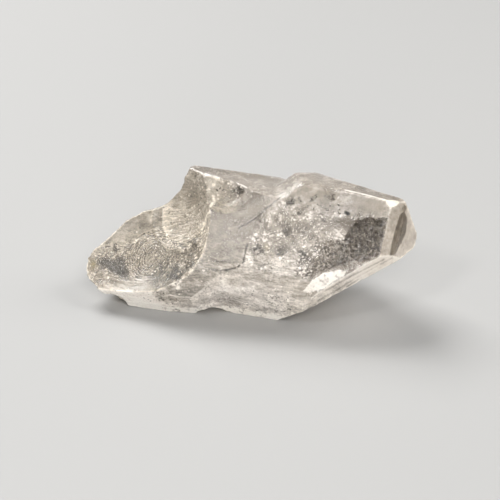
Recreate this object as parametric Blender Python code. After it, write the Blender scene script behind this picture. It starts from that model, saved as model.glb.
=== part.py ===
"""A quartz point: one natural crystal of clear rock quartz, broken from its seat and lying on its side.

The crystal is two blocks grown together on the same axes. Quartz keeps the angles between its faces
whatever its size, so every flat face is a cut square to a direction in the crystal's own axes, at
its own distance from the centre. The left end is broken: each scar is the inside of a shallow shell
with ripples around the point where the blow fell.
"""

import math

import bmesh
import bpy
from mathutils import Vector, noise

MM = 0.001

# The crystal's long axis runs to +X, turned towards the front and dipping to its tip. Degrees.
HEADING = 15.0
DIP = 6.0
ROLL = 40.0

# The angle between a face's normal and the long axis: a prism face, and the faces of the point.
PRISM = 90.0
POINT = 51.8
BACK_POINT = 180.0 - POINT

# The point all face distances are measured from, mm.
CENTRE = Vector((15.55, 0.15, 9.85))

# Faces are (degrees round the axis from the front face, angle from the axis, mm from the centre).
MAIN_FACES = {
    "front": (0, PRISM, 8.4),
    "top": (60, PRISM, 9.65),
    "back_top": (120, 76, 5.7),
    "back": (180, PRISM, 7.6),
    "underside": (240, PRISM, 13.4),
    "front_low": (300, PRISM, 14.2),
    "front_bevel": (330, PRISM, 12.0),
    "bevel": (342, 79, 10.2),
    "point_front": (0, POINT, 11.0),
    "point_low": (300, POINT, 9.6),
    "point_under": (240, POINT, 5.6),
    "point_back": (180, 50, 5.7),
    "point_back_top": (121, POINT, 8.9),
    "tip": (356, 32, 11.4),
    "tip_back": (100, 42, 10.6),
    "seat_front": (40, BACK_POINT, 13.0),
    "seat_back_top": (120, BACK_POINT, 10.3),
    "seat": (334, 152, 21.0),
}
SHOULDER_FACES = {
    "front": (0, PRISM, 8.2),
    "front_bevel": (330, 86, 11.6),
    "top": (60, 86, 6.05),
    "back_top": (120, 112, 12.1),
    "back_edge": (120, PRISM, 7.8),
    "back": (180, PRISM, 7.3),
    "underside": (240, PRISM, 15.5),
    "front_low": (294, 81, 13.3),
    "front_low_left": (297, 87, 15.8),
    "point_low": (306, 60, 3.7),
    "point_back_top": (120, POINT, -1.1),
    "join": (0, 0, -6.0),
    "seat": (180, BACK_POINT, 23.2),
    "seat_back_top": (120, BACK_POINT, 18.3),
    "seat_under": (240, BACK_POINT, 33.1),
    "seat_low": (300, BACK_POINT, 36.4),
    "end": (102, 148, 27.8),
}
BLOCK_SIZE = 120.0

# Scars are the middle of the ball, its radius, where the blow fell, and the ripples' pitch and height.
SCARS = {
    "tail_scar": ((-25.8, -14.3, 27.6), 26, (-14.4, 0.0, 6.4), 1.6, 0.06),
    "shoulder_scar": ((-15.7, -3.8, 18.7), 10, (-5.6, -3.2, 16.0), 1.4, 0.05),
    "saddle_scar": ((-18.8, 9.9, 21.4), 10, (-11.6, 7.8, 15.0), 1.4, 0.05),
    "crest_chip": ((-4.6, -5.6, 24.7), 9, (-6.1, 3.2, 20.0), 1.3, 0.04),
    "corner_chip": ((23.3, -4.5, 20.7), 2.2, (21.6, -3.5, 20.0), 0.9, 0.03),
    "foot_chip": ((-6.0, -7.5, -2.2), 3.6, (-4.6, -5.2, 0.1), 1.2, 0.04),
    "rim_chip": ((-19.1, 6.7, 13.1), 2.0, (-17.6, 5.8, 12.5), 0.8, 0.03),
    "heel_chip": ((-25.7, -5.6, 2.9), 1.5, (-23.6, -5.7, 3.5), 0.8, 0.03),
    "toe_chip": ((-22.5, -4.5, 0.1), 2.5, (-20.6, -5.0, 1.0), 0.9, 0.03),
}
# The ripples grow to their full height over about this far from the blow, mm.
FADE = 5.0
# Round its pole a ball has facets about this wide, mm.
FACET = 2.0


def crystal_axes():
    """The long axis, the front prism face's normal, and the way up that face, as unit vectors."""
    heading, dip, roll = (math.radians(a) for a in (HEADING, DIP, ROLL))
    along = Vector((math.cos(dip) * math.cos(heading), -math.cos(dip) * math.sin(heading), -math.sin(dip)))
    level = Vector((0, -1, 0))
    level = (level - level.dot(along) * along).normalized()
    up = level.cross(along)
    front = math.cos(roll) * level + math.sin(roll) * up
    return along, front, math.cos(roll) * up - math.sin(roll) * level


ALONG, FRONT, UP = crystal_axes()


def face_normal(azimuth, tilt):
    """A face's outward normal, from its angle round the axis and its angle from the axis."""
    azimuth, tilt = math.radians(azimuth), math.radians(tilt)
    around = math.cos(azimuth) * FRONT + math.sin(azimuth) * UP
    return math.cos(tilt) * ALONG + math.sin(tilt) * around


def new_object(name, bm, collection):
    mesh = bpy.data.meshes.new(name)
    bm.to_mesh(mesh)
    bm.free()
    obj = bpy.data.objects.new(name, mesh)
    collection.objects.link(obj)
    return obj


def slice_off(bm, point, normal):
    """Cuts away what lies outside a plane and closes the cut with a face."""
    geometry = bm.verts[:] + bm.edges[:] + bm.faces[:]
    bmesh.ops.bisect_plane(bm, geom=geometry, plane_co=point, plane_no=normal, clear_outer=True)
    bmesh.ops.holes_fill(bm, edges=[e for e in bm.edges if e.is_boundary])


def faceted_block(name, faces, collection):
    """A big cube cut down by the faces."""
    bm = bmesh.new()
    bmesh.ops.create_cube(bm, size=BLOCK_SIZE * MM)
    for azimuth, tilt, distance in faces.values():
        normal = face_normal(azimuth, tilt)
        slice_off(bm, (CENTRE + distance * normal) * MM, normal)
    bmesh.ops.recalc_face_normals(bm, faces=bm.faces)
    return new_object(name, bm, collection)


def level_cutter(collection):
    """A cube with its top at z = 0. It takes off what lies below the level the crystal rests on."""
    bm = bmesh.new()
    bmesh.ops.create_cube(bm, size=BLOCK_SIZE * MM)
    bmesh.ops.translate(bm, verts=bm.verts, vec=(0, 0, -BLOCK_SIZE * MM / 2))
    return new_object("level", bm, collection)


def scar_cutter(name, centre, radius, blow, pitch, height, collection):
    """A ball whose surface ripples in rings around the point where the blow fell.

    Its radius is radius + height * (1 - exp(-arc / FADE)) * sin(2 pi * (arc / pitch + wander)), arc
    being the way along the surface from that point. Low noise lets the rings wander and swells the
    ball between them.
    """
    bm = bmesh.new()
    rings = int(math.pi * radius / (pitch / 4))
    around = max(16, int(math.tau * radius / FACET))
    bmesh.ops.create_uvsphere(bm, u_segments=around, v_segments=rings, radius=1.0)
    centre = Vector(centre)
    turn = Vector((0, 0, 1)).rotation_difference(Vector(blow) - centre).to_matrix()
    for vert in bm.verts:
        arc = radius * vert.co.angle(Vector((0, 0, 1)))
        place = turn @ vert.co * radius
        wander = 0.5 * noise.noise(place * 0.25 + centre)
        swell = height * (1 - math.exp(-arc / FADE)) * math.sin(math.tau * (arc / pitch + wander))
        lumps = 0.2 * noise.noise(place * 0.3 - centre)
        vert.co = (place * (1 + (swell + lumps) / radius) + centre) * MM
    return new_object(name, bm, collection)


def combine(body, other, operation):
    modifier = body.modifiers.new(other.name, "BOOLEAN")
    modifier.operation = operation
    modifier.solver = "EXACT"
    modifier.object = other
    other.hide_render = True
    other.display_type = "WIRE"


def clear_quartz():
    material = bpy.data.materials.new("clear_quartz")
    material.use_nodes = True
    shader = material.node_tree.nodes["Principled BSDF"]
    shader.inputs["Base Color"].default_value = (0.80, 0.78, 0.73, 1.0)
    shader.inputs["Roughness"].default_value = 0.08
    shader.inputs["Metallic"].default_value = 0.0
    return material


def main():
    for obj in list(bpy.data.objects):
        bpy.data.objects.remove(obj)
    parts = bpy.data.collections.new("quartz_point")
    helpers = bpy.data.collections.new("cutters")
    for collection in (parts, helpers):
        bpy.context.scene.collection.children.link(collection)
    body = faceted_block("quartz_point", MAIN_FACES, parts)
    body.data.materials.append(clear_quartz())
    combine(body, faceted_block("shoulder", SHOULDER_FACES, helpers), "UNION")
    combine(body, level_cutter(helpers), "DIFFERENCE")
    for name, scar in SCARS.items():
        combine(body, scar_cutter(name, *scar, helpers), "DIFFERENCE")


main()
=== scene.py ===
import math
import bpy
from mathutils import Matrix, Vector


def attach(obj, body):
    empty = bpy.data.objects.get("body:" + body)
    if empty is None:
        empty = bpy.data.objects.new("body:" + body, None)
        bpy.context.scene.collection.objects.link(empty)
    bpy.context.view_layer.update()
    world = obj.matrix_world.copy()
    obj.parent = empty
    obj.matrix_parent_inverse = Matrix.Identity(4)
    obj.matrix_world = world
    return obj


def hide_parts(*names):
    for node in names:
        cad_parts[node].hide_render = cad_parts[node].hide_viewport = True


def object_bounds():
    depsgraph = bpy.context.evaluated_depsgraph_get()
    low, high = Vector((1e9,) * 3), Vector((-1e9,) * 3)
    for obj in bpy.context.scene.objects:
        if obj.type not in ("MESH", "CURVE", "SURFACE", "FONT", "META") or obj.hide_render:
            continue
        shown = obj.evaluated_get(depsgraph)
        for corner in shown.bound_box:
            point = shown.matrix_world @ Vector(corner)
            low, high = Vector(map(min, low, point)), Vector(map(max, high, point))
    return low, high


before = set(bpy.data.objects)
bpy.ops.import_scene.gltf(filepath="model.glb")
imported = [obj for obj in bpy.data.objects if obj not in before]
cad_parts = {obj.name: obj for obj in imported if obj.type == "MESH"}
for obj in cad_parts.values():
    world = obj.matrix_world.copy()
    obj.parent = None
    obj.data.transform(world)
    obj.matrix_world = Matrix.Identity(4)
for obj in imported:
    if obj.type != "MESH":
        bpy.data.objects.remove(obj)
CAD_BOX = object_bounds()

# The looks of a quartz point: clear rock quartz with frosted scars, milky veils and growth steps, lying on
# a pale floor. Lengths are millimetres until a mesh is written. A place is either (x, y, z) or, on the
# crystal's front, (along, up): along its axis towards the tip and up the front face, from CENTRE.

from types import SimpleNamespace

import bmesh
import bpy
import numpy as np
from mathutils import Vector

MM = 0.001

# The crystal's axes and its scars, as the solid has them.
HEADING = math.radians(15.0)
DIP = math.radians(6.0)
ROLL = math.radians(40.0)
CENTRE = np.array([15.55, 0.15, 9.85])
SCARS = {
    # name: (middle of the ball whose skin the scar is, its radius)
    "tail_scar": ((-25.8, -14.3, 27.6), 26.0),
    "shoulder_scar": ((-15.7, -3.8, 18.7), 10.0),
    "saddle_scar": ((-18.8, 9.9, 21.4), 10.0),
    "crest_chip": ((-4.6, -5.6, 24.7), 9.0),
    "corner_chip": ((23.3, -4.5, 20.7), 2.2),
    "foot_chip": ((-6.0, -7.5, -2.2), 3.6),
    "rim_chip": ((-19.1, 6.7, 13.1), 2.0),
    "heel_chip": ((-25.7, -5.6, 2.9), 1.5),
    "toe_chip": ((-22.5, -4.5, 0.1), 2.5),
}

SKIN_GRAIN = 0.32     # spacing of the skin's points, halved on the side that is looked at
LOOKED_AT = np.array([0.0, -0.87, 0.50])
WELD = 2e-7           # metres: corners of the solid's loose triangles closer than this are one
BOX_GAP = 0.01        # the skin keeps this far inside the solid's box
FLAT_BASE = 0.05      # points lower than this stay level, on the floor

# What the material reads at each point of the skin.
ATTRIBUTES = ("tone", "milk", "frost", "warm", "iron", "speck", "speckle", "ringed", "white", "dark",
              "fibres")

# Places on the front, (along, up).
RAGGED_RIDGE = ((-21.7, 2.8), (-21.0, 0.4), (-21.1, -1.7), (-21.7, -3.3), (-21.9, -5.6), (-21.6, -7.3),
                (-21.7, -9.2), (-21.5, -10.4), (-21.9, -11.6), (-23.1, -13.5), (-23.4, -14.9))
CREST_EDGE = ((-26.0, 3.6), (-24.4, 4.2), (-21.8, 4.1), (-18.9, 3.7), (-16.5, 3.3))
CLEAR_EDGE = ((-0.7, 6.7), (3.4, 6.6), (6.1, 6.4), (7.7, 6.1))
# A clear patch of the front, painted dark into the tone as painted shade, standing in for a dark ground seen
# through the glass.
WINDOW = ((-1.4, -2.2), (0.9, -1.6), (1.5, 0.3), (2.5, 2.4), (4.4, 3.0), (6.9, 3.4), (7.1, -0.9), (7.1, -3.5),
          (2.9, -4.7), (0.0, -6.3), (-2.4, -8.6), (-3.9, -8.4), (-3.6, -6.4), (-1.6, -4.6), (-1.9, -3.1))
CLOUDY = ((-14.0, -2.0), (-10.0, 3.0), (-2.8, 4.0), (0.3, 2.6), (-1.8, -2.1), (-4.9, -6.5), (-9.0, -9.6),
          (-13.3, -8.5))
SMOOTH_LEFT = ((-21.0, -0.4), (-16.0, 1.5), (-14.6, -2.0), (-13.8, -8.0), (-19.8, -9.8))
SMOOTH_RIGHT = ((0.8, 6.0), (5.8, 6.0), (6.0, 4.4), (2.9, 3.4), (1.1, 3.9))
CRUSHED = ((-22.0, 3.6), (-17.4, 3.4), (-16.6, 0.5), (-20.9, -0.4))
# The outline of a painted highlight, painted white into the tone.
GLINT = ((-3.5, -10.8), (-2.4, -9.0), (-0.6, -7.3), (1.2, -6.2), (3.0, -5.9), (2.5, -7.0), (1.0, -8.4),
         (-0.6, -9.9), (-2.2, -11.0))
GROWTH_LINES = {
    # name: (line, half width, depth)
    "upper": (((-15.8, -3.3), (-13.6, -1.1), (-10.6, 3.0)), 0.10, 0.55),
    "upper_second": (((-15.2, -2.0), (-13.0, 0.2), (-10.3, 3.3)), 0.07, 0.25),
    "plate": (((-13.8, -5.5), (-13.7, -8.5), (-14.5, -9.6), (-16.3, -10.4)), 0.11, 0.5),
    "bevel_first": (((7.9, -2.8), (3.2, -6.9), (0.0, -9.9)), 0.07, 0.30),
    "bevel_second": (((9.0, -2.2), (4.7, -6.1), (1.9, -8.9), (-0.9, -11.5)), 0.07, 0.20),
    "bevel_third": (((4.6, -6.6), (3.0, -8.2)), 0.07, 0.25),
}
# A stripe on the point, painted dark as painted shade, with streaks along it.
TIP_BAND = ((8.6, 3.6), (8.7, 4.9), (9.2, 5.5), (9.8, 4.8), (10.1, 2.6), (9.9, 1.0), (9.5, -0.6), (9.1, -2.0),
            (8.6, -2.0), (8.5, -0.2), (8.5, 1.7))
OLIVE = ((-6.7, 5.7), (-4.9, 5.8), (-2.3, 5.2), (0.0, 4.3), (-0.8, 3.8), (-3.3, 3.8), (-5.6, 4.4))
STREAKY = ((-5.5, -7.9), (-5.2, -4.9), (-3.6, -3.3), (-1.2, -3.0), (0.6, -4.0), (0.2, -6.0), (-2.7, -8.8),
           (-4.9, -9.4))
SPECKLED = ((-1.0, 0.2), (2.4, 0.2), (6.8, -0.4), (7.2, -3.0), (2.6, -4.8), (-0.4, -4.4))
MOTTLED = ((-9.4, -13.3), (-8.4, -12.4), (-5.2, -12.0), (-4.6, -14.0), (-8.7, -15.0))
# (along, up, size)
FLECKS = ((-9.0, 2.4, 0.7), (-8.4, 2.9, 0.7), (-7.3, 3.3, 0.5), (-5.6, 4.0, 0.6), (-4.9, 4.3, 0.5),
          (-3.8, 6.0, 0.4), (-2.5, 4.8, 0.8), (-4.3, 0.5, 0.5), (-2.9, 1.0, 0.5), (-6.9, 1.2, 0.5))
BLACK_SPECK = (0.5, 2.9)
DARK_HOLES = ((-8.1, -2.2, 1.2), (-11.9, -6.1, 1.3), (-8.3, -5.8, 1.1), (-4.8, -5.3, 1.2), (-17.3, 3.0, 1.3),
              (-20.6, -1.2, 0.7))
BRIGHT_SPOTS = ((-0.2, -0.9, 1.5), (1.0, -1.3, 0.7), (-12.6, -1.9, 0.7), (-9.7, 2.2, 0.8), (-9.6, 0.0, 0.8),
                (-11.0, -3.5, 1.2), (-13.0, -3.8, 0.9), (-3.5, -1.0, 1.0), (-1.5, 2.0, 0.6), (-5.6, 1.2, 0.8),
                (-14.3, -9.0, 0.7), (-7.9, -6.2, 0.9), (-0.8, -6.2, 0.8), (7.2, 5.6, 1.3), (-10.4, -5.6, 0.8),
                (-2.6, -4.9, 0.7), (-16.5, -5.5, 0.8))
WARM_SPOT = (-10.6, -5.4)
SEAM = (-16.6, -5.2)           # the step between the two grown blocks

# Places on the broken end, (x, y, z), and (x, y, z, size).
RING_CENTRE = np.array([-15.5, -1.3, 7.6])     # the tail scar's fine rings lie round this point
BRAID = np.array([[-14.2, -3.6, 7.1], [-10.0, -1.0, 11.0]])     # a braid of splinters runs between these
STUB = np.array([-25.6, -0.4, 5.5])            # the broken end's own tip, stained brown
UPPER_BLOW = np.array([-6.6, 0.3, 17.0])       # the upper scar's hackle runs out from this
# The narrow clear streak at this place is painted dark in the tone, as painted shade.
TAIL_SLOT = np.array([-22.2, 1.9, 7.7])        # a clear slot in the tail's scar
LOW_HORN = (-27.1, 0.8, 6.4)
HIGH_HORN = (-10.0, 5.0, 21.0)
SWELL_PLACE = (-26.0, -2.0, 5.0)
SWELL_PUSH = np.array([-0.75, -0.22, -0.38])
WHITE_SPOTS = ((-16.4, 4.2, 11.9, 1.4), (-18.2, -5.8, 2.0, 1.6), (-9.8, -2.3, 10.9, 0.7),
               (-6.5, 0.0, 17.2, 0.9), (-11.0, -5.1, 8.4, 0.8), (-11.8, -7.8, 6.4, 0.8))
# Ways across the broken end, (x, y, z): those that lines run, and those that regions are told apart by.
TAIL_LINES = (4.2, 2.6, 3.9)
HIGH_LINES = (8.0, -2.9, 1.1)
LOW_LINES = (6.0, -4.0, -1.5)
BRAID_LINES = (0.3, -0.6, 0.9)
BELLY_LINES = (1.0, 0.0, 0.6)
SLOT_WAY = (0.0, 0.6, 0.8)
TAIL_UP = np.array([0.0, 0.8, 0.6])
RINGS_CLEAREST = np.array([-0.85, 0.35, 0.4])
# (x, y) of the clear patch in the tail's scar, painted dark as painted shade.
TAIL_WINDOW = ((-24.9, -0.2), (-23.8, 0.5), (-22.2, 0.0), (-21.6, 0.5), (-20.5, -0.2), (-20.0, -1.8),
               (-19.6, -3.6), (-21.0, -2.7), (-22.6, -1.4), (-23.8, -0.8))
# (x, z) of the grey chips on the belly.
GREY = (((-16.2, 5.0), (-12.8, 4.9), (-14.6, 3.1)),
        ((-15.4, 2.8), (-12.5, 4.2), (-9.3, 4.3), (-8.9, 2.4), (-12.0, 1.4)))
# (x, y) of the chips beside the braid, painted in shade.
SHADED = (((-10.2, -0.4), (-8.0, -1.9), (-7.9, -5.0), (-9.8, -3.8)),
          ((-13.3, -5.9), (-12.4, -4.5), (-10.7, -5.9), (-10.9, -7.7)))


def crystal_axes():
    """The long axis, the front face's normal and the way up that face, as unit vectors."""
    along = np.array([math.cos(DIP) * math.cos(HEADING), -math.cos(DIP) * math.sin(HEADING), -math.sin(DIP)])
    level = np.array([0.0, -1.0, 0.0])
    level -= (level @ along) * along
    level /= np.linalg.norm(level)
    up = np.cross(level, along)
    front = math.cos(ROLL) * level + math.sin(ROLL) * up
    return along, front, math.cos(ROLL) * up - math.sin(ROLL) * level


ALONG, FRONT, UP = crystal_axes()


# ---------------------------------------------------------------- fields over the skin

def length(vectors):
    return np.sqrt((vectors ** 2).sum(-1))


def smooth(values, low, high):
    """0 below low, 1 above high, and an S-curve between. low may be the larger."""
    part = np.clip((values - low) / (high - low), 0, 1)
    return part * part * (3 - 2 * part)


def lattice_noise(points, grain, seed):
    """Smooth noise from -1 to 1: random numbers at the corners of cubes of side grain, blended by an
    S-curve along each side."""
    table = np.random.default_rng(seed).uniform(-1, 1, (32, 32, 32))
    place = points / grain
    corner = np.floor(place).astype(int)
    part = place - corner
    part = part * part * (3 - 2 * part)
    total = 0.0
    for step in np.ndindex(2, 2, 2):
        weight = np.where(step, part, 1 - part).prod(-1)
        index = (corner + step) % 32
        total = total + weight * table[index[..., 0], index[..., 1], index[..., 2]]
    return total


def layered_noise(points, grain, layers, seed):
    """Noise from about -1 to 1: lattice noise with each layer half as coarse and half as strong."""
    total = 0.0
    for layer in range(layers):
        total = total + lattice_noise(points, grain / 2 ** layer, seed + layer) / 2 ** layer
    return total / (2 - 2 ** (1 - layers))


def drawn(points, way, stretch):
    """Points squeezed along a way, so that what is drawn on them comes out stretch times as long that way."""
    way = np.array(way) / np.linalg.norm(way)
    return points - (points @ way)[:, None] * way * (1 - 1 / stretch)


def drawn_out(points, centre, width):
    """Points moved so that what is drawn on them runs out from a centre, in lines about width / 4 wide."""
    away = points - centre
    reach = length(away)[:, None].clip(0.1)
    return width * away / reach + 0.15 * reach


def drawn_round(points, centre, width):
    """Points moved so that what is drawn on them runs round a centre."""
    away = points - centre
    reach = length(away)[:, None].clip(0.1)
    return width * away / reach + reach * np.array([1.0, 0.0, 0.0])


def streaks(points, way, width, stretch, seed):
    """Noise drawn out along a way: width across it and stretch times that along it."""
    return layered_noise(drawn(points, way, stretch), width, 3, seed)


def hackle(points, centre, width, seed):
    """Lines that run out from a centre: noise of the direction from it alone, about width wide 4 mm out."""
    away = points - centre
    return layered_noise(4 * away / length(away)[:, None].clip(0.1), width, 3, seed)


def chips(points, grain, seed):
    """Chips about grain wide: each place's nearest seed on a jittered lattice gives it that seed's random
    number, and how much nearer that seed is than the next."""
    table = np.random.default_rng(seed).uniform(0, 1, (24, 24, 24, 4))
    place = points / grain
    corner = np.floor(place).astype(int)
    first = np.full(len(points), 9.0)
    second = np.full(len(points), 9.0)
    value = np.zeros(len(points))
    for step in np.ndindex(3, 3, 3):
        index = corner + step - 1
        seeds = table[index[:, 0] % 24, index[:, 1] % 24, index[:, 2] % 24]
        away = length(index + seeds[:, :3] - place)
        closer = away < first
        second = np.where(closer, first, np.minimum(second, away))
        value = np.where(closer, seeds[:, 3], value)
        first = np.where(closer, away, first)
    return value, second - first


def rings(points, centre, pitch, bend, seed):
    """Waves round a centre: the sine of the distance from it, bent and broken by coarse noise."""
    turn = length(points - centre) / pitch + bend * layered_noise(points, 3.0, 2, seed)
    return np.sin(math.tau * turn) * smooth(lattice_noise(points, 1.6, seed + 7), -0.5, 0.4)


def blob(points, place, size, edge=0.6):
    """1 at a place and 0 beyond size from it, falling over the outer share edge."""
    return smooth(length(points - np.array(place)), size, size * (1 - edge))


def patch(across, up, outline, soft):
    """1 inside an outline and 0 outside it, fading over soft to each side."""
    inside = np.zeros(across.shape, bool)
    nearest = np.full(across.shape, 1e9)
    corners = np.array(outline, float)
    for (x0, y0), (x1, y1) in zip(corners, np.roll(corners, -1, 0)):
        crosses = (y0 > up) != (y1 > up)
        inside ^= crosses & (across < (x1 - x0) * (up - y0) / (y1 - y0 + 1e-12) + x0)
        run = (x1 - x0) ** 2 + (y1 - y0) ** 2
        share = np.clip(((across - x0) * (x1 - x0) + (up - y0) * (y1 - y0)) / run, 0, 1)
        nearest = np.minimum(nearest, np.hypot(across - x0 - share * (x1 - x0), up - y0 - share * (y1 - y0)))
    return smooth(np.where(inside, nearest, -nearest), -soft, soft)


def beside(across, up, line):
    """How far a place is to the left of a line of points, negative to its right, and how far past the
    line's ends it is."""
    nearest = np.full(across.shape, 1e9)
    side = np.zeros(across.shape)
    past = np.zeros(across.shape)
    line = np.array(line, float)
    for (x0, y0), (x1, y1) in zip(line[:-1], line[1:]):
        run = math.hypot(x1 - x0, y1 - y0)
        share = ((across - x0) * (x1 - x0) + (up - y0) * (y1 - y0)) / run ** 2
        held = np.clip(share, 0, 1)
        gap = np.hypot(across - x0 - held * (x1 - x0), up - y0 - held * (y1 - y0))
        left = ((x1 - x0) * (up - y0) - (y1 - y0) * (across - x0)) / run
        closer = gap < nearest
        nearest = np.where(closer, gap, nearest)
        side = np.where(closer, left, side)
        past = np.where(closer, np.abs(share - held) * run, past)
    return np.where(side >= 0, nearest, -nearest), past


# ---------------------------------------------------------------- the crystal's skin

def new_object(name, mesh):
    obj = bpy.data.objects.new(name, mesh)
    bpy.context.scene.collection.objects.link(obj)
    return obj


def read_points(mesh):
    points = np.empty(len(mesh.vertices) * 3)
    mesh.vertices.foreach_get("co", points)
    return points.reshape(-1, 3) / MM


def read_normals(mesh):
    normals = np.empty(len(mesh.vertices) * 3)
    mesh.vertices.foreach_get("normal", normals)
    return normals.reshape(-1, 3)


def read_edges(mesh):
    edges = np.empty(len(mesh.edges) * 2, int)
    mesh.edges.foreach_get("vertices", edges)
    return edges.reshape(-1, 2)


def write_points(mesh, points):
    mesh.vertices.foreach_set("co", (points * MM).astype(np.float32).ravel())
    mesh.update()


def write_values(mesh, name, values):
    attribute = mesh.attributes.new(name, "FLOAT", "POINT")
    attribute.data.foreach_set("value", np.clip(values, 0, 1).astype(np.float32))


def write_flow(mesh, flow):
    attribute = mesh.attributes.new("flow", "FLOAT_VECTOR", "POINT")
    attribute.data.foreach_set("vector", (flow * MM).astype(np.float32).ravel())


def baked(draft, name):
    """An object's mesh with its modifiers applied. The object goes."""
    mesh = bpy.data.meshes.new_from_object(draft.evaluated_get(bpy.context.evaluated_depsgraph_get()))
    mesh.name = name
    bpy.data.objects.remove(draft)
    return mesh


def even_skin(node):
    """The solid's surface as even squares, finer on the side that is looked at, drawn back onto the
    solid's own faces and edges."""
    bm = bmesh.new()
    bm.from_mesh(node.data)
    bmesh.ops.remove_doubles(bm, verts=bm.verts, dist=WELD)
    solid = bpy.data.meshes.new("solid")
    bm.to_mesh(solid)
    bm.free()

    draft = new_object("draft", solid.copy())
    remesh = draft.modifiers.new("even", "REMESH")
    remesh.mode = "VOXEL"
    remesh.voxel_size = SKIN_GRAIN * MM
    mesh = baked(draft, "squares")

    wanted = read_normals(mesh) @ LOOKED_AT > 0.05
    bm = bmesh.new()
    bm.from_mesh(mesh)
    edges = [e for e in bm.edges if wanted[e.verts[0].index] and wanted[e.verts[1].index]]
    bmesh.ops.subdivide_edges(bm, edges=edges, cuts=1, use_grid_fill=True)
    bmesh.ops.triangulate(bm, faces=[f for f in bm.faces if len(f.verts) > 4])
    bm.to_mesh(mesh)
    bm.free()

    target = new_object("solid", solid)
    draft = new_object("draft", mesh)
    draft.modifiers.new("onto", "SHRINKWRAP").target = target
    mesh = baked(draft, "crystal")
    bpy.data.objects.remove(target)
    return mesh


def spread(values, edges, rounds, where=None):
    """Values at points, each round moved halfway to the mean of its neighbours along edges, and only
    where it is wanted."""
    if where is not None:
        number = np.cumsum(where) - 1
        inner = number[edges[where[edges].all(1)]]
        result = values.copy()
        result[where] = spread(values[where], inner, rounds)
        return result
    values = values.reshape(len(values), -1)
    count = np.bincount(edges.ravel(), minlength=len(values))[:, None].clip(1)
    for _ in range(rounds):
        total = np.stack([
            np.bincount(edges[:, 0], column[edges[:, 1]], len(values))
            + np.bincount(edges[:, 1], column[edges[:, 0]], len(values))
            for column in values.T
        ], 1)
        values = 0.5 * values + 0.5 * total / count
    return values


def on_scar(points, normals, name, reach=0.45):
    """1 on the scar's skin and 0 elsewhere: as far from the ball's middle as its radius, and facing it."""
    centre, radius = SCARS[name]
    inward = np.array(centre) - points
    away = length(inward)
    facing = (inward * normals).sum(-1) / away
    return smooth(np.abs(away - radius), reach, 0.5 * reach) * smooth(facing, 0.75, 0.92)


def near(along, up, places):
    """1 at each of the (along, up, size) places and 0 beyond its size."""
    return sum(smooth(np.hypot(along - a, up - u), size, 0.3 * size) for a, u, size in places)


def pressed(points, normals, name):
    """Points on a scar moved onto its ball's own skin."""
    centre, radius = SCARS[name]
    inward = np.array(centre) - points
    away = length(inward)
    share = on_scar(points, normals, name) * (away - radius) / away
    return points + share[:, None] * inward


def rolled_off(points, normals, edges, facing):
    """Softly rolls off the front's edge over its low side, the crest's inner edge, the step between the two
    grown blocks, and the two horns of the broken end. Returns the points, their normals, how much each was
    rolled off, and which of them are above the front."""
    along, up = (points - CENTRE) @ ALONG, (points - CENTRE) @ UP
    under = smooth(up, -6.0, -8.0) * smooth(up, -14.0, -12.0) * smooth(along, -1.0, -3.0)
    above = smooth(up, 2.5, 3.5) * smooth(along, -17.0, -15.0) * smooth(along, -0.5, -2.0)
    seam = smooth(np.hypot(along - SEAM[0], up - SEAM[1]), 2.2, 1.2)
    rolled = np.maximum(np.maximum(under, above), seam) * facing * (1 - on_scar(points, normals, "tail_scar"))
    horns = blob(points, LOW_HORN, 1.8, 0.7) + blob(points, HIGH_HORN, 2.2, 0.7)
    for share, rounds in ((rolled, 70), (rolled * above, 130), (horns, 60)):
        points = points + share[:, None] * (spread(points, edges, rounds, share > 0) - points)
        normals = normals + share[:, None] * (spread(normals, edges, rounds, share > 0) - normals)
    normals /= length(normals)[:, None]
    return points, normals, rolled, above


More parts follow.
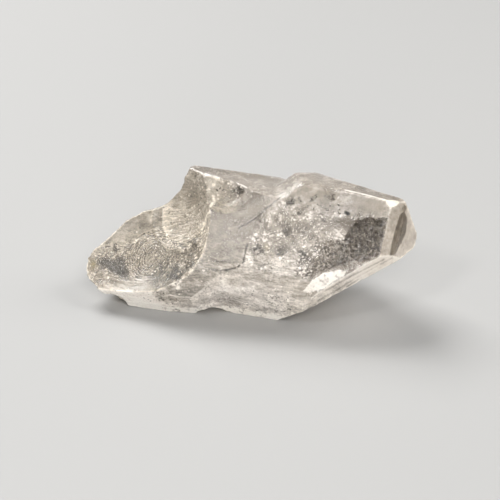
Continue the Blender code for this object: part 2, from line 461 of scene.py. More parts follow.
def find_regions(points, normals, edges, facing, rolled, above):
    """What the relief and the looks depend on at each point. A region is 1 inside and 0 outside."""
    at = SimpleNamespace(points=points, normals=normals, facing=facing)

    # Every boundary is read at a place that noise has shaken, so it comes out ragged.
    at.shaken = points + 0.35 * np.stack([layered_noise(points, 1.0, 3, s) for s in (1, 2, 3)], 1)
    at.along, at.up = (at.shaken - CENTRE) @ ALONG, (at.shaken - CENTRE) @ UP
    at.true_along, at.true_up = (points - CENTRE) @ ALONG, (points - CENTRE) @ UP
    at.cloud = layered_noise(points, 1.8, 4, 101)
    at.clustered = smooth(at.cloud, -0.3, 0.5)
    at.fine = layered_noise(at.shaken, 0.45, 2, 102)

    # The scars, and the faces that the crystal grew.
    scar = {name: on_scar(points, normals, name) for name in SCARS}
    scar["crest_chip"] *= smooth(points[:, 0], 0.0, -4.5)
    at.corner = scar["corner_chip"]
    at.tail = scar["tail_scar"]
    at.upper = np.clip(scar["shoulder_scar"] + scar["saddle_scar"] + scar["crest_chip"], 0, 1)
    at.scarred = np.clip(sum(scar.values()), 0, 1)
    at.grown = 1 - at.scarred
    at.front = smooth(normals @ FRONT, 0.86, 0.96) * at.grown
    at.away = (1 - facing) * at.grown
    at.top = smooth(normals[:, 2], 0.75, 0.9) * at.grown
    at.crest = above * rolled
    at.quiet = 1 - 0.85 * above * rolled
    whole = 1 - np.maximum(at.tail, at.upper)
    at.low_front = smooth(-normals[:, 1], 0.45, 0.75) * smooth(-normals[:, 2], -0.25, 0.05) * whole
    at.belly = smooth(-normals[:, 1], 0.3, 0.6) * smooth(points[:, 0], -12.0, -14.0) * (1 - at.tail)
    at.bevel = smooth(-normals[:, 2], -0.15, 0.05) * smooth(at.true_along, -2.0, 0.0)
    at.bevel *= smooth(normals @ ALONG, 0.0, 0.15)

    # How sharply the surface turns outwards, and inwards, over about half a millimetre, and where it lies
    # between two scars.
    bulge = ((points - spread(points, edges, 12)) * normals).sum(-1)
    at.ridge = spread(smooth(bulge, 0.01, 0.07), edges, 2)[:, 0] * (1 - rolled)
    at.groove = spread(smooth(-bulge, 0.01, 0.06), edges, 2)[:, 0]
    at.between = smooth(spread(np.maximum(at.tail, at.upper), edges, 8)[:, 0], 0.55, 0.75)

    # Edges that are broken into splinters, and one that is sharp and clear, painted light along it as a
    # painted highlight.
    gap, past = beside(at.along, at.up, RAGGED_RIDGE)
    at.broken_edge = smooth(np.abs(gap), 0.45, 0.1) * smooth(past, 1.0, 0.2) * smooth(points[:, 1], 6.0, 4.0)
    gap, past = beside(at.along, at.up, CREST_EDGE)
    at.broken_edge += (0.6 * smooth(np.abs(gap), 0.55, 0.1) * smooth(past, 1.0, 0.2)
                       * smooth(points[:, 2], 15, 17))
    at.broken_edge = np.clip(at.broken_edge, 0, 1)
    at.broken_edge *= smooth(at.fine + 0.8 * lattice_noise(points, 1.1, 5), -0.6, 0.5)
    gap, past = beside(at.true_along, at.true_up, CLEAR_EDGE)
    at.clear_edge = smooth(np.abs(gap), 0.25, 0.05) * smooth(past, 0.5, 0.1)
    at.clear_edge *= smooth(at.fine, -1.0, -0.3) * facing

    find_broken_end(at, edges)
    find_grown_faces(at)
    return at


def find_broken_end(at, edges):
    """Regions of the broken end's scars."""
    points, shaken, tail, upper = at.points, at.shaken, at.tail, at.upper
    from_rings = points - RING_CENTRE
    reach = length(from_rings)
    left_of = smooth(from_rings @ RINGS_CLEAREST, -1.0, 1.5)
    at.ringed = tail * smooth(reach, 0.8, 1.6) * smooth(reach, 5.6, 4.6) * (0.4 + 0.6 * left_of)
    at.rim = tail * smooth(points[:, 1], 1.6, 3.0) * smooth(points[:, 0], -9.0, -12.0)
    at.hem = tail * smooth(points[:, 1], -3.4, -4.6) * smooth(points[:, 0], -14.0, -16.5)
    at.edging = (at.rim + at.hem).clip(0, 1)
    at.fanned = tail * smooth(points[:, 2], 6.2, 5.2) * smooth(points[:, 0], -18.0, -20.0)
    at.crown = upper * smooth(points[:, 2], 16.0, 18.0)
    at.upper_low = upper * smooth(points[:, 2], 14.5, 13.5)

    # The braid of splinters, the shade painted beside it and on the shaded chips, and the chipped steps to
    # its right.
    start, end = BRAID
    share = np.clip((points - start) @ (end - start) / ((end - start) ** 2).sum(), -0.15, 1.1)
    from_braid = length(shaken - start - share[:, None] * (end - start))
    at.braid = tail * smooth(from_braid, 1.1, 0.4)
    at.beside_braid = tail * smooth(from_braid, 2.8, 1.2)
    at.stepped = tail * smooth(points[:, 0] + 0.45 * points[:, 2], -9.7, -8.2) * (1 - at.braid)
    at.stepped *= smooth(points[:, 2], 16.0, 13.5)
    at.shaded = sum(patch(shaken[:, 0], shaken[:, 1], outline, 0.3) for outline in SHADED) * tail

    # The lines on the tail's scar lie above and below its rings.
    height = from_rings @ TAIL_UP
    at.tail_high = tail * smooth(height, 2.2, 2.6)
    at.tail_low = tail * smooth(height, -2.6, -3.0)
    at.lined = tail * (smooth(height, 2.6, 3.6) * (1 - 0.75 * at.rim)
                       + 0.6 * smooth(height, -2.8, -3.6) * smooth(height, -5.5, -4.6))

    # The clear patch and the narrow clear streak in the tail's scar, painted dark in the tone: painted shade
    # standing in for a dark ground seen through them.
    holes = patch(shaken[:, 0], shaken[:, 1], TAIL_WINDOW, 0.4)
    holes *= 0.7 + 0.35 * smooth(layered_noise(shaken, 1.4, 2, 36), -0.35, 0.2)
    slot = blob(drawn(shaken - TAIL_SLOT, SLOT_WAY, 2.5), (0, 0, 0), 0.5)
    at.hollow = (tail * (holes + 0.7 * slot)).clip(0, 1)

    # The broken end thins to a milky lip all round its scar, painted bright along its rim as a painted
    # highlight.
    at.lip = tail * smooth(spread(tail, edges, 10)[:, 0], 0.92, 0.62) * smooth(points[:, 2], 17.0, 15.0)
    at.spots = sum(blob(shaken, (x, y, z), size, 1.0) for x, y, z, size in WHITE_SPOTS)
    at.stub = blob(points, STUB - 1.0, 2.4, 1.0)


def find_grown_faces(at):
    """Regions of the faces that the crystal grew. Still and clean are the smooth patches of the front, at
    its left and right, and crushed is the bruised one under the crest."""
    along, up, front, fine = at.along, at.up, at.front, at.fine
    at.window = front * smooth(patch(along, up, WINDOW, 0.9) + 0.3 * fine, 0.3, 0.7)
    at.cloudy = front * patch(along, up, CLOUDY, 1.2)
    at.still = front * patch(along, up, SMOOTH_LEFT, 0.7)
    at.clean = front * patch(along, up, SMOOTH_RIGHT, 0.4)
    at.crushed = patch(along, up, CRUSHED, 0.6) * front
    at.olive = front * patch(along, up, OLIVE, 0.3)
    at.streaky = front * patch(along, up, STREAKY, 0.5)
    at.speckled = front * patch(along, up, SPECKLED, 0.4)
    at.mottled = patch(along, up, MOTTLED, 0.4) * at.low_front
    at.dark_holes = front * near(along, up, DARK_HOLES)
    at.flecks = front * near(along, up, FLECKS)
    at.bright_spots = at.facing * near(along, up, BRIGHT_SPOTS)
    at.warm_spot = front * smooth(np.hypot(along - WARM_SPOT[0], up - WARM_SPOT[1]), 1.0, 0.2)
    at.speck = front * smooth(np.hypot(along - BLACK_SPECK[0], 1.5 * (up - BLACK_SPECK[1])), 0.62, 0.35)

    # The facets of the point: a stripe painted dark as painted shade, and a strip and a facet beside it
    # painted lighter as painted highlights.
    at.point = smooth(at.normals @ ALONG, 0.35, 0.5) * smooth(at.true_along, 3.0, 5.0)
    at.band = at.point * patch(at.true_along + 0.04 * fine, at.true_up, TIP_BAND, 0.12)
    at.strip = at.point * smooth(at.true_along, 9.3, 8.6) * (1 - at.band) * at.facing

    # A painted highlight low on the right, painted white into the tone, and a ragged fringe of white crumbs
    # round it.
    at.glint = smooth(patch(along, up, GLINT, 0.4) + 0.15 * fine, 0.45, 0.65) * at.facing
    at.halo = patch(along, up, GLINT, 1.0) * (1 - at.glint)

    # The belly and the foot, and the low side of the crystal. The foot's bottom edge is painted white as a
    # painted highlight.
    at.foot_edge = smooth(at.points[:, 2] + 0.5 * at.cloud, 1.8, 0.8) * smooth(-at.normals[:, 1], 0.0, 0.3)
    at.grey = sum(patch(at.shaken[:, 0], at.shaken[:, 2], outline, 0.2) for outline in GREY) * at.belly
    at.lower = at.facing * at.grown * smooth(at.true_up, -4.5, -7.5) * smooth(at.true_along, 0.0, -3.0)
    at.lower *= (1 - at.low_front) * (1 - at.belly)
    at.lower *= 1 - 0.8 * at.still


def fine_relief(at):
    """How far each point stands out from the solid, in millimetres. What is carved is kept for the tone too,
    because light gathers along it."""
    points, shaken = at.points, at.shaken
    at.carved = 0.3 * at.ringed * rings(points, RING_CENTRE, 0.62, 0.6, 11)
    at.carved += 1.3 * at.lined * streaks(points, HIGH_LINES, 0.36, 9, 13)
    at.carved += 1.3 * at.braid * streaks(points, BRAID_LINES, 0.36, 4, 31)
    at.carved += at.fanned * streaks(points, LOW_LINES, 0.5, 12, 35)
    at.carved += 0.9 * at.upper * (1 - 0.6 * at.crown) * hackle(points, UPPER_BLOW, 0.5, 41)
    at.carved += 0.8 * at.low_front * (1 - 0.9 * at.bevel) * streaks(points, ALONG, 0.5, 7, 81)
    at.step, at.border = chips(shaken @ np.diag((1.0, 1.0, 1.4)), 1.5, 121)
    at.shard, _ = chips(shaken, 0.8, 122)
    relief = 0.09 * at.carved
    relief += 0.12 * at.tail * layered_noise(points, 4.0, 2, 32)
    relief += 0.03 * (at.tail + at.upper) * layered_noise(points, 1.0, 4, 33)
    relief -= 0.30 * at.stepped * (1 - at.rim) * at.step
    relief -= 0.15 * (at.crushed + 0.2 * at.upper) * at.shard

    # Growth faces: fine lines across the long axis, and shallow growth hills.
    relief += 0.012 * at.grown * at.quiet * streaks(points, np.cross(ALONG, FRONT), 0.45, 12, 61)
    relief += 0.03 * at.grown * layered_noise(points, 4.0, 2, 71)

    # Sharp edges are nicked, and broken ones are raised and rough.
    relief -= 0.10 * at.ridge * smooth(lattice_noise(points, 0.7, 91), 0.2, 0.9)
    relief += 0.10 * at.broken_edge + 0.08 * at.broken_edge * at.fine

    # Growth lines are dark, and the face is a little lower to their right.
    at.lines = 0.0
    for line, half, depth in GROWTH_LINES.values():
        aside, beyond = beside(at.true_along + 0.06 * at.fine, at.true_up, line)
        cut = smooth(np.abs(aside), 2 * half, 0.5 * half) * smooth(beyond, 0.5, 0.1) * at.facing
        at.lines = np.maximum(at.lines, depth * cut * smooth(at.cloud + at.fine, -1.6, -0.7))
        relief -= (0.05 * depth * at.front * smooth(aside, 0.1, -0.1) * smooth(aside, -3.0, -0.4)
                   * smooth(beyond, 1.0, 0))
    return relief


def moved_out(at, relief):
    """The points moved out by the relief. They stay level on the floor, and inside the solid's box."""
    moved = at.points + (relief * smooth(at.points[:, 2], 0.0, 0.5))[:, None] * at.normals
    low, high = (np.array(corner) / MM for corner in CAD_BOX)
    moved = np.clip(moved, low + BOX_GAP, high - BOX_GAP)
    moved[:, 2] = np.where(at.points[:, 2] < FLAT_BASE, at.points[:, 2].clip(0), moved[:, 2])
    return moved


def tone_of(at):
    """How light the skin and what lies under it are, painted highlights and painted shade included: 0 is dark
    glass, 0.5 the body and 1 white.
    """
    points, fine, cloud, front, tail, upper = at.points, at.fine, at.cloud, at.front, at.tail, at.upper
    tone = 0.50 + 0.08 * cloud * (1 - 0.2 * at.still - 0.6 * at.clean - 0.6 * at.point)
    tone += 0.10 * fine * (1 - 0.5 * at.still - at.clean)
    tone += 0.20 * at.carved

    # The tail's scar.
    tone += 0.02 * at.rim + 0.05 * at.hem - 0.09 * tail
    tone += 0.25 * at.stepped * (at.step - 0.5)
    tone += 0.15 * at.stepped * smooth(at.border, 0.12, 0.02) * smooth(fine, -0.4, 0.4)
    # Painted shade on the shaded chips and beside the braid; the braid itself is darker.
    tone -= 0.16 * at.shaded + 0.08 * at.braid + 0.08 * at.beside_braid
    tone -= 0.03 * at.tail_high * (1 - at.rim)
    tone += 0.10 * at.stub + 0.2 * at.spots
    tone += 0.12 * tail * smooth(points[:, 2], 15.0, 17.5)
    # Painted shade: the tail's clear patch and streak are painted dark.
    tone -= 0.56 * at.hollow * (0.8 + 0.4 * fine)

    # The upper scars.
    tone += 0.03 * upper - 0.03 * at.crown
    tone -= 0.14 * upper * smooth(at.normals[:, 2], 0.7, 0.9)
    tone -= 0.04 * upper * smooth(points[:, 2], 14.5, 13.0)

    # The front.
    spark, _ = chips(at.shaken, 0.5, 123)
    spark = smooth(spark, 0.88, 0.96) * smooth(cloud, -0.2, 0.3)
    tone += 0.4 * at.crushed * (at.shard - 0.45) - 0.10 * at.still + 0.01 * at.clean + 0.03 * at.olive
    tone += at.cloudy * (0.15 * cloud - 0.09 * smooth(at.true_up, 0.5, -1.5))
    tone += at.cloudy * (0.10 * (at.shard - 0.5) + 0.22 * spark)
    tone += 0.08 * front * smooth(at.true_up, 0.0, 3.0) * smooth(at.true_along, -9.0, -7.0)
    # Painted shade: the clear patch is painted dark, standing in for a dark ground seen through the glass.
    tone -= at.window * (0.31 - 0.24 * smooth(at.true_along, 1.0, -3.0))
    tone -= 0.32 * at.dark_holes * (0.7 - 0.6 * fine)
    tone += 0.06 * at.bright_spots - 0.15 * at.flecks
    tone += 0.06 * at.top - 0.05 * at.crest

    # The point: painted shade on its dark streaked stripe, and painted highlights on the strip left of it, on
    # its right facet and on its chipped corner.
    tone += at.band * (0.35 * streaks(points, UP, 0.35, 8, 51) - 0.12)
    tone -= at.band * 0.14 * smooth(at.true_along, 8.8, 9.6)
    tone += 0.26 * at.point * (1 - at.band) * smooth(at.true_along, 9.0, 9.6)
    tone += 0.12 * at.strip + 0.2 * at.corner

    # The low side. The lower front, where it rolls away, is painted lighter on the right as a painted sheen,
    # darker towards its left, and streaked.
    tone += at.low_front * (0.20 + 0.12 * cloud + 0.2 * spark) + 0.06 * at.bevel + 0.12 * at.belly
    tone -= 0.12 * at.low_front * smooth(at.shaken[:, 0], -15.5, -14.3) * smooth(at.shaken[:, 0], -9.0, -10.5)
    tone -= at.grey * (0.20 + 0.3 * streaks(points, BELLY_LINES, 0.4, 5, 84))
    tone += at.lower * (0.08 - 0.16 * smooth(at.true_along, -13.0, -16.0))
    tone += at.lower * 0.32 * streaks(points, ALONG + 0.2 * UP, 0.4, 6, 83)

    # Edges: broken ones white with crushed grain; the sharp clear edge, the foot's edge, the lip and every
    # outward turn painted lighter as painted highlights. The faces turned away are painted lighter, to offset
    # their shade and the glass's tint there, and kept plain.
    tone += 0.38 * at.broken_edge + 0.5 * at.clear_edge + 0.5 * at.foot_edge * smooth(fine, -0.6, 0.2)
    tone += 0.28 * at.ridge * smooth(fine, -0.8, 0.4) * (1 - 0.9 * at.between) * (1 - 0.6 * at.away)
    tone += 0.15 * at.groove * fine + 0.20 * at.lip * smooth(fine, -1.0, 0.0)
    tone += (0.22 - 0.06 * cloud) * at.away
    # Painted highlight: the flash low on the right is painted white into the tone.
    tone = np.maximum(tone, at.glint * (1 - 0.3 * smooth(fine, 0.1, 0.5)))
    return tone - at.lines


def milk_of(at, tone):
    """How much of the light comes back from veils of tiny cracks under the skin."""
    milk = 0.26 + 0.18 * at.cloud + 0.12 * at.front * smooth(at.true_up, 1.5, 3.5)
    milk += 0.10 * at.scarred + 0.15 * at.upper + 0.2 * (at.rim + at.hem) + 0.25 * at.lip - 0.25 * at.hollow
    milk += 0.10 * at.cloudy + 0.10 * at.still - 0.05 * at.clean - 0.25 * at.window + 0.08 * at.crest
    milk += 0.25 * at.low_front + 0.2 * at.lower + 0.3 * at.belly + 0.3 * at.lines
    milk += 0.15 * at.strip - 0.10 * at.band + 0.25 * at.corner
    milk -= (0.20 + 0.13 * at.cloud) * at.away
    return milk + 1.1 * (tone - 0.5).clip(0)


def frost_of(at):
    """How rough the skin is."""
    frost = 0.15 + 0.35 * at.scarred + 0.3 * at.crushed + 0.25 * at.low_front + 0.15 * at.crest
    frost = frost * (1 - 0.8 * at.window) * (1 + 0.8 * at.still)
    return frost * (1 - 0.6 * at.rim) * (1 - 0.6 * at.hem) * (1 - 0.7 * at.point)


def warm_of(at):
    """How much of the body's faint yellow there is."""
    warm = 0.35 + 0.65 * at.scarred - 0.1 * at.rim - 0.3 * at.hem - 0.3 * at.away
    return warm + 0.3 * smooth(at.true_along, 3, 9) + 0.2 * lattice_noise(at.points, 4.0, 111)


def speckle_of(at):
    """How much the grain shakes the tone."""
    speckle = 0.25 + 0.2 * at.tail + 0.3 * at.crushed + 0.4 * at.window + 0.3 * at.low_front - 0.22 * at.away
    speckle += at.cloudy * (0.15 + 0.3 * at.clustered)
    speckle = at.quiet * speckle * (1 - 0.8 * at.still) * (1 - 0.8 * at.clean)
    return speckle * (1 - 0.7 * at.edging) * (1 - 0.7 * at.point)


def crumbs_of(at):
    """How likely a crumb of the crushed skin is white, and how likely it is dark."""
    white = 0.01 + 0.02 * at.scarred + at.cloudy * (0.01 + 0.09 * at.clustered)
    white += 0.06 * at.low_front * at.clustered + 0.22 * at.crushed + 0.12 * at.streaky + 0.22 * at.speckled
    # White crumbs on the foot's edge are a painted highlight.
    white += 0.22 * at.broken_edge + 0.5 * at.foot_edge + 0.10 * at.braid + 0.06 * at.stepped
    white += 0.20 * at.bright_spots + 0.3 * at.spots
    # Dark crumbs in the clear patches of the front and the tail are painted shade.
    dark = 0.02 * at.scarred + 0.05 * at.cloudy * (1 - at.clustered) + 0.24 * at.streaky + 0.25 * at.window
    dark += 0.06 * at.stepped + 0.1 * at.shaded + 0.2 * at.hollow + 0.12 * at.grey
    dark += 0.40 * at.dark_holes + 0.6 * at.flecks + 0.15 * at.mottled + 0.02 * at.low_front
    calm = (1 - 0.95 * at.still) * (1 - 0.9 * at.clean) * (1 - 0.8 * at.edging) * (1 - 0.95 * at.point)
    calm = calm * (1 - 0.9 * at.bevel) * (1 - 0.9 * at.top) * (1 - at.glint)
    # White crumbs round the painted highlight are its painted fringe.
    return white * calm + 0.5 * at.halo * smooth(at.halo, 0.2, 0.5), dark * calm


def fibres_of(at):
    """How much hair-fine fibres and cracks show."""
    fibres = 0.5 * at.tail + 0.15 * at.ringed + 0.4 * at.tail_high + 0.4 * at.upper + 0.45 * at.upper_low
    fibres += 0.5 * at.low_front + 0.5 * at.lower + 0.6 * at.band
    fibres += 0.15 * at.cloudy + 0.15 * at.still + 0.15 * at.window
    fibres = fibres * (1 - 0.8 * at.tail * smooth(at.points[:, 1], 2.0, 3.0))
    fibres = fibres * (1 - 0.7 * at.tail * smooth(at.points[:, 2], 13, 15))
    fibres = fibres * (1 - 0.7 * at.hem) * (1 - 0.7 * at.bevel) * (1 - 0.7 * at.crown) * (1 - 0.6 * at.hollow)
    return fibres


def iron_of(at):
    """How much brown iron stain there is."""
    stain = 0.9 * blob(at.shaken, STUB, 1.1, 1.0)
    return stain + 0.35 * at.warm_spot + 0.12 * at.clean + 0.12 * at.olive


def flow_of(at):
    """The points, squeezed along the way that the fibres run: along the low side, round the rings, out from
    the upper scar's blow, up the point's band, and three ways across the rest of the tail's scar."""
    points = at.points
    flow = drawn(points, ALONG, 4)
    for region, laid in (
            (at.tail, drawn(points, TAIL_LINES, 5)),
            (at.tail_high, drawn(points, HIGH_LINES, 7)),
            (at.tail_low, drawn(points, LOW_LINES, 7)),
            (at.ringed, drawn_round(points, RING_CENTRE, 1.6)),
            (at.upper, drawn_out(points, UPPER_BLOW, 4.0)),
            (at.upper_low, drawn(points, HIGH_LINES, 7)),
            (at.band, drawn(points, UP, 6))):
        flow = np.where(region[:, None] > 0.3, laid, flow)
    return flow


def crystal_skin(node):
    """The crystal as it is seen, with an attribute on its points for each thing that the material reads."""
    mesh = even_skin(node)
    points, normals, edges = read_points(mesh), read_normals(mesh), read_edges(mesh)
    normals = spread(normals, edges, 2)
    normals /= length(normals)[:, None]
    for name in ("tail_scar", "shoulder_scar"):
        points = pressed(points, normals, name)
    facing = smooth(normals @ LOOKED_AT, 0.0, 0.3)
    points, normals, rolled, above = rolled_off(points, normals, edges, facing)
    # The broken end's own edge swells between its horns.
    points = points + blob(points, SWELL_PLACE, 3.2, 1.0)[:, None] * SWELL_PUSH

    at = find_regions(points, normals, edges, facing, rolled, above)
    write_points(mesh, moved_out(at, fine_relief(at)))
    tone = tone_of(at)
    white, dark = crumbs_of(at)
    values = {
        "tone": tone, "milk": milk_of(at, tone), "frost": frost_of(at), "warm": warm_of(at),
        "iron": iron_of(at), "speck": at.speck, "speckle": speckle_of(at), "ringed": at.ringed,
        "white": white, "dark": dark, "fibres": fibres_of(at),
    }
    for name in ATTRIBUTES:
        write_values(mesh, name, values[name])
    write_flow(mesh, flow_of(at))
    mesh.polygons.foreach_set("use_smooth", np.ones(len(mesh.polygons), bool))
    mesh.materials.clear()
    mesh.materials.append(rock_quartz())
    return new_object("crystal", mesh)


# ---------------------------------------------------------------- materials

def linear(code):
    """An sRGB hex colour as linear RGBA."""
    parts = [int(code[i:i + 2], 16) / 255 for i in (1, 3, 5)]
    return tuple(c / 12.92 if c <= 0.04045 else ((c + 0.055) / 1.055) ** 2.4 for c in parts) + (1.0,)


def add(tree, kind, settings=None, links=None):
    """Adds a node. Settings are its own values or, by name or number, its inputs'; links are the nodes
    whose first outputs join its inputs."""
    node = tree.nodes.new(kind)
    for name, value in (settings or {}).items():
        if isinstance(name, str) and hasattr(node, name):
            setattr(node, name, value)
        else:
            node.inputs[name].default_value = value
    for name, source in (links or {}).items():
        output = source.outputs[0] if isinstance(source, bpy.types.Node) else source
        tree.links.new(output, node.inputs[name])
    return node


def new_tree(name):
    material = bpy.data.materials.new(name)
    material.use_nodes = True
    material.node_tree.nodes.clear()
    return material, material.node_tree


MATHS = "ShaderNodeMath"
QUARTZ_IOR = 1.544
# From dark glass through the body to white.
TONES = ((0.25, "#98928b"), (0.50, "#d4ccc2"), (0.75, "#f2e9e2"))
DARKEST = "#45423e"
LIGHTEST = "#fffaf4"
# Sizes in the material, mm.
GRAIN = 0.28
RING_PITCH = 0.45
RING_BEND = 2.2
FIBRE_NOISE = 0.5
CRUMB = 0.26
CRUMB_BEND = 0.5
BUMP_HEIGHT = 0.14
# How far each pattern moves the tone.
RING_TONE = 0.08
FIBRE_TONE = 0.26
CRACK_TONE = -0.16
CRUMB_TONE = 0.30
FAINT_YELLOW = "#faf5e8"
IRON_BROWN = "#a3946a"
SPECK_BLACK = "#1d1914"
# What the light loses on its way through, per metre.
DEPTH_COLOUR = "#d8d2c8"
DEPTH_DENSITY = 20.0


def rock_quartz():
    """Rock quartz, grown and broken: clear glass where a face is whole, frosted where it is scarred, and
    milky where a skin of tiny cracks lies under it. It gives the eye grey glass with white edges."""
    material, tree = new_tree("clear_quartz")
    place = add(tree, "ShaderNodeTexCoord").outputs["Object"]
    read = {}
    for name in ATTRIBUTES:
        read[name] = add(tree, "ShaderNodeAttribute", {"attribute_name": name}).outputs["Fac"]

    # Crushed grain 0.3 mm across, with finer grit on it. It shakes the tone most where it is speckled.
    grain = add(tree, "ShaderNodeTexNoise", {"Scale": 1 / (GRAIN * MM), "Detail": 3.0, "Roughness": 0.8},
                {"Vector": place})
    centred = add(tree, MATHS, {"operation": "SUBTRACT", 1: 0.5}, {0: grain})
    sway = add(tree, MATHS, {"operation": "MULTIPLY_ADD", 1: 1.6, 2: 0.15}, {0: read["speckle"]})
    shake = add(tree, MATHS, {"operation": "MULTIPLY"}, {0: centred, 1: sway})

    # Fine rings on the tail's scar, 0.45 mm apart, bent by coarse noise and broken by the grain.
    ring_centre = tuple(float(c) * MM for c in RING_CENTRE)
    reach = add(tree, "ShaderNodeVectorMath", {"operation": "DISTANCE", 1: ring_centre}, {0: place})
    wander = add(tree, "ShaderNodeTexNoise", {"Scale": 1 / (RING_BEND * MM), "Detail": 1.0},
                 {"Vector": place})
    turn = add(tree, MATHS, {"operation": "MULTIPLY", 1: math.tau / (RING_PITCH * MM)},
               {0: reach.outputs["Value"]})
    turn = add(tree, MATHS, {"operation": "MULTIPLY_ADD", 1: 12.0}, {0: wander, 2: turn})
    wave = add(tree, MATHS, {"operation": "SINE"}, {0: turn})
    wave = add(tree, MATHS, {"operation": "MULTIPLY"}, {0: wave, 1: read["ringed"]})
    shake = add(tree, MATHS, {"operation": "MULTIPLY_ADD", 1: RING_TONE}, {0: wave, 2: shake})

    # Hair-fine light fibres: the thin places where a noise 0.5 mm across, drawn out along them, crosses
    # its middle.
    flow = add(tree, "ShaderNodeAttribute", {"attribute_name": "flow"}).outputs["Vector"]
    combed = add(tree, "ShaderNodeTexNoise", {"Scale": 1 / (FIBRE_NOISE * MM), "Detail": 2.0},
                 {"Vector": flow})
    off = add(tree, MATHS, {"operation": "SUBTRACT", 1: 0.5}, {0: combed})
    off = add(tree, MATHS, {"operation": "ABSOLUTE"}, {0: off})
    fibre = add(tree, MATHS, {"operation": "MULTIPLY_ADD", 1: -14.0, 2: 1.0, "use_clamp": True}, {0: off})
    fibre = add(tree, MATHS, {"operation": "MULTIPLY"}, {0: fibre, 1: read["fibres"]})
    shake = add(tree, MATHS, {"operation": "MULTIPLY_ADD", 1: FIBRE_TONE}, {0: fibre, 2: shake})

    # Hair-fine dark cracks, thinner than the fibres and beside them: where the same noise is a little below
    # its middle.
    off = add(tree, MATHS, {"operation": "SUBTRACT", 1: 0.42}, {0: combed})
    off = add(tree, MATHS, {"operation": "ABSOLUTE"}, {0: off})
    crack = add(tree, MATHS, {"operation": "MULTIPLY_ADD", 1: -24.0, 2: 1.0, "use_clamp": True}, {0: off})
    crack = add(tree, MATHS, {"operation": "MULTIPLY"}, {0: crack, 1: read["fibres"]})
    shake = add(tree, MATHS, {"operation": "MULTIPLY_ADD", 1: CRACK_TONE}, {0: crack, 2: shake})

    # Crumbs 0.26 mm across, each all white, all dark or neither, by its own random number.
    jolt = add(tree, "ShaderNodeTexNoise", {"Scale": 1 / (CRUMB_BEND * MM), "Detail": 1.0}, {"Vector": place})
    shaken = add(tree, "ShaderNodeVectorMath", {"operation": "MULTIPLY_ADD", 1: (0.3 * MM,) * 3},
                 {0: jolt.outputs["Color"], 2: place})
    crumbs = add(tree, "ShaderNodeTexVoronoi", {"Scale": 1 / (CRUMB * MM)}, {"Vector": shaken})
    chance = add(tree, "ShaderNodeSeparateColor", None, {"Color": crumbs.outputs["Color"]})
    lot = add(tree, MATHS, {"operation": "ADD"}, {0: chance, 1: read["white"]})
    white = add(tree, MATHS, {"operation": "GREATER_THAN", 1: 1.0}, {0: lot})
    dark = add(tree, MATHS, {"operation": "LESS_THAN"}, {0: chance, 1: read["dark"]})
    crumb = add(tree, MATHS, {"operation": "SUBTRACT"}, {0: white, 1: dark})
    shake = add(tree, MATHS, {"operation": "MULTIPLY_ADD", 1: CRUMB_TONE}, {0: crumb, 2: shake})

    # The tone's colour, then the body's faint yellow, the brown iron stain and the black speck.
    level = add(tree, MATHS, {"operation": "ADD", "use_clamp": True}, {0: read["tone"], 1: shake})
    tone = add(tree, "ShaderNodeValToRGB", None, {"Fac": level})
    tone.color_ramp.elements[0].color = linear(DARKEST)
    tone.color_ramp.elements[1].color = linear(LIGHTEST)
    for share, code in TONES:
        tone.color_ramp.elements.new(share).color = linear(code)
    tone = add(tree, "ShaderNodeMix",
               {"data_type": "RGBA", "blend_type": "MULTIPLY", "B": linear(FAINT_YELLOW)},
               {"Factor": read["warm"], "A": tone})
    tone = add(tree, "ShaderNodeMix", {"data_type": "RGBA", "B": linear(IRON_BROWN)},
               {"Factor": read["iron"], "A": tone.outputs["Result"]})
    tone = add(tree, "ShaderNodeMix", {"data_type": "RGBA", "B": linear(SPECK_BLACK)},
               {"Factor": read["speck"], "A": tone.outputs["Result"]})

    # Milk closes the glass, so that less light goes through. Frost makes it rough, and the grain, the rings
    # and the fibres stand up most where it is frosted.
    closed = add(tree, MATHS, {"operation": "MULTIPLY_ADD", 1: 0.8}, {0: shake, 2: read["milk"]})
    closed = add(tree, MATHS, {"operation": "MAXIMUM"}, {0: closed, 1: read["speck"]})
    clear = add(tree, MATHS, {"operation": "SUBTRACT", 0: 1.0, "use_clamp": True}, {1: closed})
    roughness = add(tree, MATHS, {"operation": "MULTIPLY_ADD", 1: 0.22, 2: 0.03}, {0: read["frost"]})
    height = add(tree, MATHS, {"operation": "MULTIPLY_ADD", 1: 0.45}, {0: wave, 2: grain})
    height = add(tree, MATHS, {"operation": "MULTIPLY_ADD", 1: 0.35}, {0: fibre, 2: height})
    strength = add(tree, MATHS, {"operation": "MULTIPLY_ADD", 1: 1.4, 2: 0.10}, {0: read["frost"]})
    bump = add(tree, "ShaderNodeBump", {"Distance": BUMP_HEIGHT * MM},
               {"Height": height, "Strength": strength})

    shader = add(tree, "ShaderNodeBsdfPrincipled", {"IOR": QUARTZ_IOR}, {
        "Base Color": tone.outputs["Result"], "Transmission Weight": clear, "Roughness": roughness,
        "Normal": bump})
    depth = add(tree, "ShaderNodeVolumeAbsorption", {"Density": DEPTH_DENSITY, "Color": linear(DEPTH_COLOUR)})
    add(tree, "ShaderNodeOutputMaterial", None, {"Surface": shader, "Volume": depth})
    return material


def painted_board():
    """Matt painted board. It gives the eye an even pale ground."""
    material, tree = new_tree("painted_board")
    shader = add(tree, "ShaderNodeBsdfPrincipled", {"Roughness": 0.7, "Base Color": linear(BOARD)})
    add(tree, "ShaderNodeOutputMaterial", None, {"Surface": shader})
    return material


# ---------------------------------------------------------------- the studio

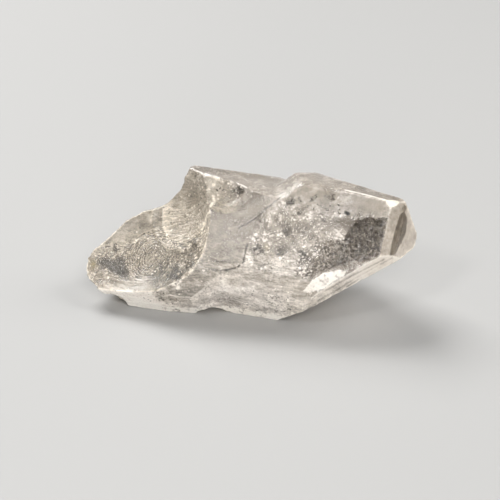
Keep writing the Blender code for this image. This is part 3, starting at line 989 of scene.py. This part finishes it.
FLOOR_SIZE = 3000.0
CAMERA_PLACE = (0.30, -192.08, 119.1)
CAMERA_PITCH = math.radians(60.0)
LENS = 96.59
SENSOR = 36.0
LAMP_AIM = (0, 0, 10)
LAMPS = {
    # name: (place, width, height, watts)
    "key": ((-240, 390, 495), 390, 300, 5.6),
    "front": ((60, -330, 300), 220, 160, 1.0),
    "side": ((280, 60, 260), 140, 200, 0.7),
    "spark": ((-190, -190, 300), 60, 60, 0.35),
    "low": ((10, -400, 90), 120, 60, 0.3),
}
BOARD = "#a5a4a2"
SKY = "#cfd2d6"
SKY_STRENGTH = 0.16


def studio():
    bm = bmesh.new()
    bmesh.ops.create_grid(bm, x_segments=8, y_segments=8, size=FLOOR_SIZE * MM / 2)
    mesh = bpy.data.meshes.new("floor")
    bm.to_mesh(mesh)
    bm.free()
    mesh.materials.append(painted_board())
    new_object("floor", mesh)

    world = bpy.data.worlds.new("studio")
    bpy.context.scene.world = world
    world.use_nodes = True
    backdrop = world.node_tree.nodes["Background"]
    backdrop.inputs["Color"].default_value = linear(SKY)
    backdrop.inputs["Strength"].default_value = SKY_STRENGTH

    for name, (place, width, height, watts) in LAMPS.items():
        lamp = bpy.data.lights.new(name, "AREA")
        lamp.shape = "RECTANGLE"
        lamp.size, lamp.size_y = width * MM, height * MM
        lamp.energy = watts
        obj = new_object(name, lamp)
        obj.location = Vector(place) * MM
        obj.rotation_euler = (Vector(LAMP_AIM) - Vector(place)).to_track_quat("-Z", "Y").to_euler()

    camera = bpy.data.cameras.new("camera")
    camera.lens = LENS
    camera.sensor_width = SENSOR
    obj = new_object("camera", camera)
    obj.location = Vector(CAMERA_PLACE) * MM
    obj.rotation_euler = (CAMERA_PITCH, 0, 0)
    bpy.context.scene.camera = obj
    bpy.context.scene.view_settings.view_transform = "Standard"


def main():
    studio()
    crystal = crystal_skin(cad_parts["quartz_point"])
    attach(crystal, "root")
    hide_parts("quartz_point")
    print("crystal", len(crystal.data.vertices), sum(len(p.vertices) - 2 for p in crystal.data.polygons))


main()
